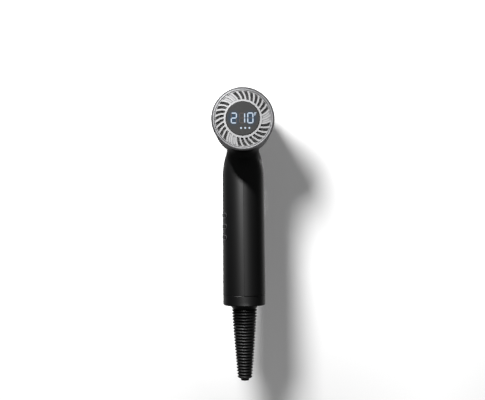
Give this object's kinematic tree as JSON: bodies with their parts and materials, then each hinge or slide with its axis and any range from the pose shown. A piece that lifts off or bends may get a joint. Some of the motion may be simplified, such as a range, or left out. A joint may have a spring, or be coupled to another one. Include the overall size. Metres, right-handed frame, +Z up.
{
  "type": "hand-held hair dryer",
  "caption": "Hand-held high-speed hair dryer: round barrel with a louvred intake and number display, straight handle with side buttons, ribbed strain relief.",
  "frame": {"origin": "centre of the air outlet's front plane, on the barrel's axis", "axes": "+Y along the barrel, the way the air blows out; +Z up, with the handle hanging along -Z; +X to the right as seen from the intake end"},
  "size_m": [0.064, 0.0968, 0.3024],
  "materials": {
    "black_abs": "satin black moulded ABS",
    "silver_trim": "silver metallic lacquer",
    "bezel_metal": "satin anodised aluminium",
    "steel_mesh": "grey painted etched steel sheet",
    "smoked_lens": "smoked polycarbonate",
    "lit_guide": "clear light guide, lit",
    "unlit_guide": "clear light guide, unlit",
    "inner_plastic": "black moulded nylon",
    "relief_rubber": "black soft rubber",
    "silicone": "grey silicone",
    "alloy": "machined alloy",
    "steel": "plated steel",
    "magnet_nickel": "nickel plated magnet",
    "copper": "enamelled copper wire",
    "mica": "pressed mica",
    "nichrome": "drawn heating wire",
    "board_green": "solder resist on glass epoxy",
    "component_plastic": "moulded component body",
    "lead_insulation": "silicone wire insulation",
    "button_trim": "bright nickel plated surround"
  },
  "bodies": {
    "dryer_body": {"housing_left": "black_abs", "housing_right": "black_abs", "intake_bezel": "bezel_metal", "display_frame": "inner_plastic", "frame_magnets": "magnet_nickel", "frame_screws": "steel", "display_lens": "smoked_lens", "display_lit_figures": "lit_guide", "display_unlit_figures": "unlit_guide", "display_board": "board_green", "pod_nose": "inner_plastic", "motor_shroud": "alloy", "motor_mount": "silicone", "motor_end_plate": "alloy", "motor_bearings": "steel", "motor_stator": "steel", "motor_windings": "copper", "motor_driver_board": "board_green", "motor_tail_cap": "inner_plastic", "heater_liner": "mica", "heater_frame": "mica", "heater_coil": "nichrome", "thermal_cutout": "component_plastic", "ion_emitters": "steel", "outlet_ring": "bezel_metal", "outlet_grille": "inner_plastic", "attachment_magnets": "magnet_nickel", "handle_chassis": "inner_plastic", "control_board": "board_green", "filter_capacitor": "component_plastic", "choke_coil": "copper", "heat_sink": "alloy", "heater_triac": "component_plastic", "ion_generator": "component_plastic", "terminal_block": "component_plastic", "button_board": "board_green", "tact_switches": "component_plastic", "button_trims": "button_trim", "end_cap": "black_abs", "cap_screws": "steel", "strain_relief": "relief_rubber", "cord_clamp": "inner_plastic", "clamp_screws": "steel", "motor_leads": "lead_insulation", "heater_leads": "lead_insulation"},
    "intake_cover": {"intake_grille": "silver_trim", "intake_mesh": "steel_mesh", "cover_magnets": "magnet_nickel"},
    "fan_rotor": {"impeller": "alloy", "motor_shaft": "steel", "rotor_magnet": "magnet_nickel"},
    "power_button": {"power_button": "black_abs"},
    "speed_button": {"speed_button": "black_abs"},
    "heat_button": {"heat_button": "black_abs"}
  },
  "joints": [
    {"name": "intake_cover_pull", "type": "slide", "parent": "dryer_body", "child": "intake_cover", "axis": [0, -1, 0], "range_m": [0, 0.03]},
    {"name": "fan_spin", "type": "hinge", "parent": "dryer_body", "child": "fan_rotor", "pos_m": [0, -0.07, 0], "axis": [0, 1, 0], "continuous": true},
    {"name": "power_button_press", "type": "slide", "parent": "dryer_body", "child": "power_button", "axis": [0.9613, 0.2756, 0], "range_m": [0, 0.0008], "stiffness_N_per_m": 1500},
    {"name": "speed_button_press", "type": "slide", "parent": "dryer_body", "child": "speed_button", "axis": [0.9613, 0.2756, 0], "range_m": [0, 0.0008], "stiffness_N_per_m": 1500},
    {"name": "heat_button_press", "type": "slide", "parent": "dryer_body", "child": "heat_button", "axis": [0.9613, 0.2756, 0], "range_m": [0, 0.0008], "stiffness_N_per_m": 1500}
  ]
}
